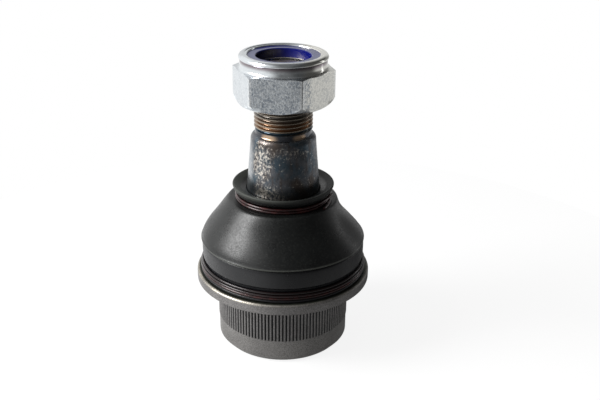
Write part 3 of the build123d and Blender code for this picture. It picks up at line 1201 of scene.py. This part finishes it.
@dataclass
class LockNut:
    """The hexagon nut: chamfered corners, and a collar whose bead is rolled over the insert."""

    across_flats: float = 33.2
    turn: float = -9.9
    edge_bevel: float = 0.33
    edge_bevel_steps: int = 4
    bottom: float = 97.1
    hex_top: float = 110.4
    bottom_round: float = 5.6
    bottom_round_start: float = -67.0
    bottom_round_end: float = -17.0
    bottom_round_steps: int = 8
    envelope_spare: float = 0.1
    envelope_skin: float = 0.001
    top_face_radius: float = 16.3
    top_angle: float = 11.0
    bore_radius: float = 11.05
    countersink: float = 1.0
    pocket_radius: float = 14.7
    pocket_bottom: float = 111.1
    pocket_top: float = 114.75
    rim_radius: float = 13.3
    segments: int = 180
    finish: Finish = field(default_factory=ZincPlate)

    def hexagon(self) -> bpy.types.Object:
        """Extrudes the hexagon, rounds its upright edges and turns its corners off at both ends.

        Returns:
            The hexagon without its collar and bore.
        """
        corner = self.across_flats / math.sqrt(3)
        bpy.ops.object.select_all(action="DESELECT")
        bpy.ops.mesh.primitive_circle_add(
            vertices=6,
            radius=corner * MM,
            fill_type="NGON",
            location=(0.0, 0.0, self.bottom * MM),
            rotation=(0.0, 0.0, math.radians(self.turn - 30.0)),
        )
        piece = bpy.context.object
        piece.name = piece.data.name = "nut"
        bpy.ops.object.transform_apply(location=True, rotation=True, scale=True)
        bpy.ops.object.mode_set(mode="EDIT")
        bpy.ops.mesh.select_all(action="SELECT")
        rise = (0.0, 0.0, (self.hex_top - self.bottom) * MM)
        bpy.ops.mesh.extrude_region_move(TRANSFORM_OT_translate={"value": rise})
        bpy.ops.mesh.select_mode(type="EDGE")
        bpy.ops.mesh.select_all(action="DESELECT")
        bpy.ops.object.mode_set(mode="OBJECT")
        places = piece.data.vertices
        for edge in piece.data.edges:
            low, high = (places[i].co for i in edge.vertices)
            edge.select = abs(low.z - high.z) > MM
        bpy.ops.object.mode_set(mode="EDIT")
        bpy.ops.mesh.bevel(
            offset=self.edge_bevel * MM, segments=self.edge_bevel_steps, affect="EDGES"
        )
        Bench.close_up(1e-7)
        outer = corner + self.envelope_spare
        start, end = math.radians(self.bottom_round_start), math.radians(self.bottom_round_end)
        centre = (
            outer - self.bottom_round * math.cos(end),
            self.bottom - self.bottom_round * math.sin(start),
        )
        drop = (corner - self.top_face_radius) * math.tan(math.radians(self.top_angle))
        envelope = Bench.turn(
            "nut_envelope",
            [
                Ring(1.0, self.bottom + self.envelope_skin),
                *arc_rings(
                    centre,
                    self.bottom_round,
                    self.bottom_round_start,
                    self.bottom_round_end,
                    self.bottom_round_steps,
                ),
                Ring(outer, self.hex_top - drop),
                Ring(self.top_face_radius, self.hex_top - self.envelope_skin),
                Ring(1.0, self.hex_top - self.envelope_skin),
            ],
            self.segments,
            Ends.CAPPED,
        )
        Bench.cut(piece, envelope, "INTERSECT")
        return piece

    def collar(self) -> bpy.types.Object:
        """Turns the collar: a flared foot, a plain wall and the rolled bead."""
        outline = (
            (12.0, 109.0), (17.25, 110.0), (17.2, 110.2), (16.85, 110.34), (16.5, 110.56),
            (16.25, 110.85), (16.12, 111.25), (16.05, 112.0), (16.02, 113.1), (15.98, 113.5),
            (16.1, 113.66), (16.3, 113.86), (16.42, 114.15), (16.42, 114.5), (16.3, 114.82),
            (16.05, 115.12), (15.7, 115.34), (15.25, 115.46), (14.85, 115.49), (14.5, 115.4),
            (14.3, 115.24), (14.1, 115.2), (13.85, 115.24), (13.6, 115.22), (13.4, 115.08),
            (13.25, 114.8), (13.0, 114.6),
        )
        rings = [Ring(radius, height) for radius, height in outline]
        return Bench.turn("nut_collar", rings, self.segments, Ends.CAPPED)

    def bore(self) -> bpy.types.Object:
        """Turns the tool that cuts the bore and the insert's pocket."""
        rings = [
            Ring(self.bore_radius + self.countersink, self.bottom - 0.5),
            Ring(self.bore_radius + self.countersink, self.bottom),
            Ring(self.bore_radius, self.bottom + self.countersink),
            Ring(self.bore_radius, self.pocket_bottom),
            Ring(self.pocket_radius, self.pocket_bottom),
            Ring(self.pocket_radius, self.pocket_top),
            Ring(self.rim_radius, self.pocket_top),
            Ring(self.rim_radius, self.pocket_top + 1.5),
        ]
        return Bench.turn("nut_bore", rings, self.segments, Ends.CAPPED)

    def build(self) -> bpy.types.Object:
        """Models the nut and puts it in the place of its solid.

        Returns:
            The finished nut.
        """
        collar = self.collar()
        bore = self.bore()
        nut = self.hexagon()
        Bench.cut(nut, collar, "UNION")
        Bench.cut(nut, bore, "DIFFERENCE")
        Bench.smooth(nut, 24.0)
        Bench.coat(nut, self.finish.material())
        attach(nut, "nut")
        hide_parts("lock_nut")
        return nut


@dataclass
class DustBoot:
    """The rubber boot: one soft fold that sits a little to one side between its clips."""

    collar_radius: float = 29.5
    clip_floor: float = 31.2
    crease_radius: float = 31.95
    crease_height: float = 43.3
    shoulder_radius: float = 20.6
    shoulder_height: float = 59.4
    neck_floor: float = 17.3
    lip_radius: float = 19.5
    lip_top: float = 65.4
    bore_radius: float = 14.1
    segments: int = 96
    finish: Finish = field(default_factory=Chloroprene)

    def lean(self, height: float) -> float:
        """How far the boot leans to -X at a height: most just under the neck, none at its clips."""
        stops = ((30.0, 0.0), (40.0, 0.0), (43.5, -0.15), (47.0, -0.8), (51.0, -1.15))
        stops += ((55.0, -1.2), (57.0, -0.8), (58.5, -0.35), (60.0, 0.0), (70.0, 0.0))
        for (low, at_low), (high, at_high) in zip(stops, stops[1:]):
            if low <= height <= high:
                return at_low + (at_high - at_low) * (height - low) / (high - low)
        return 0.0

    def profile(self) -> list[Ring]:
        """Rings of the boot's wall, up the outside and back down the inside."""
        crease, top = self.crease_radius, self.crease_height
        outside = (
            (self.collar_radius, 30.25), (31.9, 30.25), (32.3, 30.3), (32.4, 30.55),
            (32.4, 31.05), (32.25, 31.3), (31.6, 31.38), (self.clip_floor, 31.42),
            (self.clip_floor - 0.1, 31.8), (self.clip_floor - 0.1, 34.9), (self.clip_floor, 35.3),
            (31.35, 35.62), (31.52, 35.9), (31.58, 36.6), (31.66, 38.5), (31.7, 40.5),
            (31.64, 42.0), (31.5, 42.5), (31.2, 42.68), (31.16, 42.8), (31.5, 42.84),
            (crease - 0.14, top - 0.38), (crease + 0.02, top - 0.2), (crease + 0.02, top + 0.05),
            (crease - 0.16, top + 0.3), (crease - 0.45, top + 0.68), (31.1, 44.9), (29.9, 46.6),
            (28.3, 48.7), (26.3, 51.0), (24.4, 53.4), (22.9, 55.9), (21.8, 57.9), (21.2, 58.95),
            (self.shoulder_radius + 0.1, 59.33),
            (self.shoulder_radius - 0.35, self.shoulder_height), (18.6, self.shoulder_height),
            (self.neck_floor + 0.25, 59.45), (self.neck_floor, 59.7), (self.neck_floor, 61.7),
            (self.neck_floor + 0.2, 62.0), (18.35, 62.35), (18.55, 62.6),
            (self.lip_radius - 0.12, 64.45), (self.lip_radius, 64.8),
            (self.lip_radius - 0.05, 65.05), (self.lip_radius - 0.3, self.lip_top),
            (self.lip_radius - 0.75, self.lip_top - 0.08), (17.4, 64.55), (16.2, 63.85),
            (15.2, 63.42), (14.5, 63.3), (self.bore_radius, 63.15),
        )
        inside = (
            (self.bore_radius, 62.6), (self.bore_radius, 57.0), (self.bore_radius + 0.3, 56.6),
            (18.0, 56.6), (19.4, 55.6), (20.9, 53.4), (23.2, 50.6), (26.3, 46.9), (28.9, 43.6),
            (self.collar_radius, 42.4), (self.collar_radius, 41.6), (self.collar_radius, 35.4),
            (self.collar_radius, 30.6), (self.collar_radius, 30.25),
        )
        return [Ring(r, z, self.lean(z)) for r, z in outside + inside]

    def build(self) -> bpy.types.Object:
        """Models the boot, bends it between its clips and puts it in the place of its solid.

        Returns:
            The finished boot.
        """
        boot = Bench.turn("boot", self.profile(), self.segments, Ends.JOINED)
        Bench.apply(boot, "SUBSURF", levels=1, render_levels=1)
        Bench.smooth(boot, 60.0)
        Bench.coat(boot, self.finish.material())
        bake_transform(boot)
        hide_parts("dust_boot")
        return boot


@dataclass
class WireClips:
    """The two wire clips: a close coil on the collar and a short one with a tail on the neck."""

    lower_wire: float = 0.98
    lower_radius: float = 32.0
    lower_bottom: float = 31.9
    lower_pitch: float = 1.0
    lower_turns: float = 3.1
    lower_sink: float = 0.75
    lower_azimuth: float = 70.0
    lower_cross_start: float = 0.9
    lower_cross_length: float = 0.1
    upper_wire: float = 1.08
    upper_radius: float = 18.0
    upper_bottom: float = 60.02
    upper_pitch: float = 1.12
    upper_turns: float = 2.0
    upper_cross_start: float = 0.86
    upper_cross_length: float = 0.14
    end_start: float = 1.9
    end_length: float = 0.078
    end_lift: float = 0.75
    tail_steps: int = 9
    tail_curve: float = 1.6
    tail_drop: float = 0.03
    tail_azimuth: float = -41.0
    tail_radius: float = 20.3
    cut_azimuth: float = -8.0
    step: float = 3.0
    facets: int = 14
    finish: Finish = field(default_factory=LacqueredWire)

    def lower_stations(self) -> list[Station]:
        """Places along the lower coil: level turns that cross over at the back."""
        stations = []
        count = int(self.lower_turns * 360 / self.step)
        for index in range(count + 1):
            along = index * self.step / 360
            whole, part = divmod(along, 1.0)
            cross = share_of(part, self.lower_cross_start, self.lower_cross_length)
            level = whole + eased(cross)
            inward = self.lower_sink * max(level - 1.0, 0.0) / 2.0
            stations.append(
                Station(
                    self.lower_azimuth + along * 360.0,
                    self.lower_radius - inward,
                    self.lower_bottom + self.lower_pitch * level,
                )
            )
        return stations

    def upper_stations(self) -> list[Station]:
        """Places along the upper coil, from the free tail to the cut end."""
        stations = []
        for index in range(self.tail_steps):
            share = index / self.tail_steps
            ease = (1.0 - share) ** self.tail_curve
            stations.append(
                Station(
                    self.tail_azimuth * (1.0 - share),
                    self.upper_radius + (self.tail_radius - self.upper_radius) * ease,
                    self.upper_bottom - self.tail_drop * ease,
                )
            )
        turns = self.upper_turns + self.cut_azimuth / 360.0
        count = int(turns * 360 / self.step)
        for index in range(count + 1):
            along = index * turns / count
            lift = eased(share_of(along, self.upper_cross_start, self.upper_cross_length))
            free = share_of(along, self.end_start, self.end_length)
            stations.append(
                Station(
                    along * 360.0,
                    self.upper_radius + self.end_lift * free * free,
                    self.upper_bottom + self.upper_pitch * lift,
                )
            )
        return stations

    def build(self) -> list[bpy.types.Object]:
        """Winds both clips and puts them in the place of their solids.

        Returns:
            The lower and the upper clip.
        """
        finish = self.finish.material()
        lower = Bench.run_wire("lower_clip", self.lower_stations(), self.lower_wire, self.facets)
        upper = Bench.run_wire("upper_clip", self.upper_stations(), self.upper_wire, self.facets)
        for piece, body, node in (
            (lower, "housing_assembly", "lower_boot_clip"),
            (upper, "boot_neck", "upper_boot_clip"),
        ):
            Bench.smooth(piece, 50.0)
            Bench.coat(piece, finish)
            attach(piece, body)
            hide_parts(node)
        return [lower, upper]


@dataclass
class SolidPieces:
    """The pieces that keep their solids and only get a finish."""

    finishes: dict[str, Finish] = field(
        default_factory=lambda: {
            "housing": ManganesePhosphate(),
            "closing_cap": PressedCover(),
            "preload_spring": OiledSpringSteel(),
            "lower_bearing_seat": Acetal(),
            "upper_bearing_seat": Acetal(),
            "lock_nut": ZincPlate(),
            "nylon_insert": Polyamide(),
            "ball_stud": TemperedSteel(),
            "dust_boot": Chloroprene(),
            "lower_boot_clip": LacqueredWire(),
            "upper_boot_clip": LacqueredWire(),
        }
    )

    def dress(self, nodes: dict[str, bpy.types.Object]) -> None:
        """Gives each solid its finish.

        Args:
            nodes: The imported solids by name.
        """
        made: dict[Finish, bpy.types.Material] = {}
        for name, finish in self.finishes.items():
            if finish not in made:
                made[finish] = finish.material()
            for slot in nodes[name].material_slots:
                slot.material = made[finish]
            LOG.info("%s: %s", name, finish.name)


# ---- studio --------------------------------------------------------------------------------------


@dataclass(frozen=True)
class Softbox:
    """One soft lamp: where it hangs, where it points, its size in metres and its power in watts."""

    name: str
    place: Point
    target: Point
    width: float
    height: float
    power: float

    def hang(self) -> bpy.types.Object:
        """Adds the lamp.

        Returns:
            The lamp's object, hidden from the camera.
        """
        data = bpy.data.lights.new(self.name, "AREA")
        data.shape = "RECTANGLE"
        data.size, data.size_y = self.width, self.height
        data.energy = self.power
        lamp = bpy.data.objects.new(self.name, data)
        bpy.context.scene.collection.objects.link(lamp)
        aim = Vector(self.target) - Vector(self.place)
        lamp.matrix_world = (
            Matrix.Translation(self.place) @ aim.to_track_quat("-Z", "Y").to_matrix().to_4x4()
        )
        lamp.visible_camera = False
        return lamp


@dataclass(frozen=True)
class Room:
    """What a mirror sees of the room by direction: white or nearly so at the left, dimmer right.

    It is dimmest high up behind the joint at the right. A level of one is white. Across runs from
    left to right, back from front to back, and up from below to above, each from -1 to 1.
    """

    low_front_left: Fade = Fade(-0.85, -0.3, 1.0, 0.28)
    low_front_right: Fade = Fade(-0.2, 0.4, 1.0, 0.35)
    low_back: Fade = Fade(-0.1, 0.45, 1.0, 0.66)
    low_turn: Fade = Fade(-0.25, 0.15, 0.0, 1.0)
    high_front_left: Fade = Fade(-0.7, -0.1, 0.92, 0.155)
    high_front_right: Fade = Fade(0.1, 0.6, 1.0, 0.4)
    level_back_left: Fade = Fade(-0.6, -0.25, 1.0, 0.73)
    level_back_right: Fade = Fade(0.2, 0.6, 1.0, 0.3)
    high_back_left: Fade = Fade(-0.25, 0.12, 1.0, 0.385)
    high_back_right: Fade = Fade(0.15, 0.5, 1.0, 0.15)
    overhead: Fade = Fade(0.65, 0.9, 1.0, 0.35)
    back_climb: Fade = Fade(0.28, 0.42, 0.0, 1.0)
    high_turn: Fade = Fade(-0.1, 0.5, 0.0, 1.0)
    climb: Fade = Fade(-0.22, 0.0, 0.0, 1.0)

    def level(self, wire: Wiring, way: bpy.types.NodeSocket) -> Any:
        """Builds the level that a mirror ray brings back.

        Args:
            wire: The world's wiring.
            way: The ray's direction.

        Returns:
            The level, from 0 to 1.
        """
        across, back, up = wire.axes(way)
        low_front = wire.times(
            wire.fade(across, self.low_front_left), wire.fade(across, self.low_front_right)
        )
        low = wire.between(
            low_front, wire.fade(across, self.low_back), wire.fade(back, self.low_turn)
        )
        high_front = wire.times(
            wire.fade(across, self.high_front_left), wire.fade(across, self.high_front_right)
        )
        level_back = wire.times(
            wire.fade(across, self.level_back_left), wire.fade(across, self.level_back_right)
        )
        high_back = wire.times(
            wire.fade(across, self.high_back_left), wire.fade(across, self.high_back_right)
        )
        high_back = wire.times(high_back, wire.fade(up, self.overhead))
        high_back = wire.between(level_back, high_back, wire.fade(up, self.back_climb))
        high = wire.between(high_front, high_back, wire.fade(back, self.high_turn))
        return wire.between(low, high, wire.fade(up, self.climb))


@dataclass(frozen=True)
class Paper:
    """The white sheet on the floor, and what a mirror sees of it by place, in metres."""

    colour: str = "#848484"
    camera_glow: float = 0.86
    across_front: Fade = Fade(-0.065, 0.02, 1.0, 0.17)
    across_back: Fade = Fade(-0.06, 0.04, 1.0, 0.03)
    turn: Fade = Fade(-0.01, 0.04, 0.0, 1.0)
    near_edge: Fade = Fade(-0.125, -0.1, 0.4, 1.0)

    def material(self) -> bpy.types.Material:
        """Builds the paper: matt, near white to the camera, with its own levels to mirrors.

        Returns:
            The finished material.
        """
        paper = bpy.data.materials.new("white_paper")
        paper.use_nodes = True
        tree = paper.node_tree
        tree.nodes.clear()
        wire = Wiring(tree)
        rays = add_node(tree, "ShaderNodeLightPath")
        place = add_node(tree, "ShaderNodeTexCoord").outputs["Object"]
        across, back, _ = wire.axes(place)
        sweep = wire.between(
            wire.fade(across, self.across_front),
            wire.fade(across, self.across_back),
            wire.fade(back, self.turn),
        )
        mirrored = wire.times(sweep, wire.fade(back, self.near_edge))
        glow = wire.math(
            "ADD",
            wire.times(rays.outputs["Is Camera Ray"], self.camera_glow),
            wire.times(wire.mirror_ray(rays), mirrored),
        )
        matt = add_node(tree, "ShaderNodeBsdfDiffuse", None, {"Color": linear(self.colour)})
        light = add_node(
            tree, "ShaderNodeEmission", None, {"Color": linear("#ffffff"), "Strength": glow}
        )
        both = add_node(
            tree, "ShaderNodeAddShader", None, {0: matt.outputs[0], 1: light.outputs[0]}
        )
        add_node(tree, "ShaderNodeOutputMaterial", None, {"Surface": both.outputs[0]})
        return paper


@dataclass
class Studio:
    """Camera, lamps, room and floor."""

    lens: float = 51.933
    camera_place: Point = (-0.00040, -0.30665, 0.19324)
    look_down: float = 23.885
    yaw: float = -1.289
    roll: float = 0.664
    sensor_width: float = 36.0
    floor_radius: float = 0.2
    floor_inset: float = 0.3
    floor_segments: int = 128
    room_level: float = 0.25
    room: Room = Room()
    paper: Paper = Paper()
    lamps: tuple[Softbox, ...] = (
        Softbox("key", (-0.42, -0.09, 0.35), (0.0, 0.0, 0.05), 0.24, 0.30, 2.8),
        Softbox("right_edge", (0.42, 0.20, 0.16), (0.0, 0.0, 0.05), 0.05, 0.30, 0.08),
    )

    def set_camera(self) -> None:
        """Places the camera in front of the joint, looking down at it."""
        data = bpy.data.cameras.new("camera")
        data.lens = self.lens
        data.sensor_width = self.sensor_width
        data.clip_start, data.clip_end = 0.01, 10.0
        camera = bpy.data.objects.new("camera", data)
        bpy.context.scene.collection.objects.link(camera)
        turn = (
            Matrix.Rotation(math.radians(self.yaw), 4, "Z")
            @ Matrix.Rotation(math.radians(90.0 - self.look_down), 4, "X")
            @ Matrix.Rotation(math.radians(self.roll), 4, "Z")
        )
        camera.matrix_world = Matrix.Translation(self.camera_place) @ turn
        bpy.context.scene.camera = camera

    def set_world(self) -> None:
        """Makes the world: white to the camera, even and dim to matt faces, a room to mirrors."""
        world = bpy.data.worlds.new("room")
        bpy.context.scene.world = world
        world.use_nodes = True
        tree = world.node_tree
        tree.nodes.clear()
        wire = Wiring(tree)
        rays = add_node(tree, "ShaderNodeLightPath")
        way = add_node(tree, "ShaderNodeTexCoord").outputs["Generated"]
        seen = wire.between(self.room_level, self.room.level(wire, way), wire.mirror_ray(rays))
        strength = wire.between(seen, 1.0, rays.outputs["Is Camera Ray"])
        background = add_node(
            tree, "ShaderNodeBackground", None, {"Color": linear("#ffffff"), "Strength": strength}
        )
        add_node(tree, "ShaderNodeOutputWorld", None, {"Surface": background.outputs[0]})

    def lay_floor(self) -> None:
        """Lays a round sheet of white paper that keeps the joint's shadow."""
        bpy.ops.object.select_all(action="DESELECT")
        bpy.ops.mesh.primitive_circle_add(
            vertices=self.floor_segments,
            radius=self.floor_radius,
            fill_type="NGON",
            enter_editmode=True,
        )
        bpy.ops.mesh.inset(thickness=self.floor_radius * self.floor_inset)
        bpy.ops.object.mode_set(mode="OBJECT")
        floor = bpy.context.object
        floor.name = "floor"
        floor.data.materials.append(self.paper.material())

    def build(self) -> None:
        """Sets up the whole studio."""
        bpy.context.scene.view_settings.view_transform = "Standard"
        self.set_camera()
        self.set_world()
        self.lay_floor()
        for lamp in self.lamps:
            lamp.hang()


def main() -> None:
    """Builds the studio, dresses the solids, models the new pieces and reports each."""
    logging.basicConfig(level=logging.INFO, format="%(message)s")
    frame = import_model()
    Studio().build()
    SolidPieces().dress(frame["nodes"])
    pieces = [BallStud().build(), LockNut().build(), DustBoot().build(), *WireClips().build()]
    for piece in pieces:
        LOG.info("%s: %d faces", piece.name, len(piece.data.polygons))


if __name__ == "__main__":
    main()
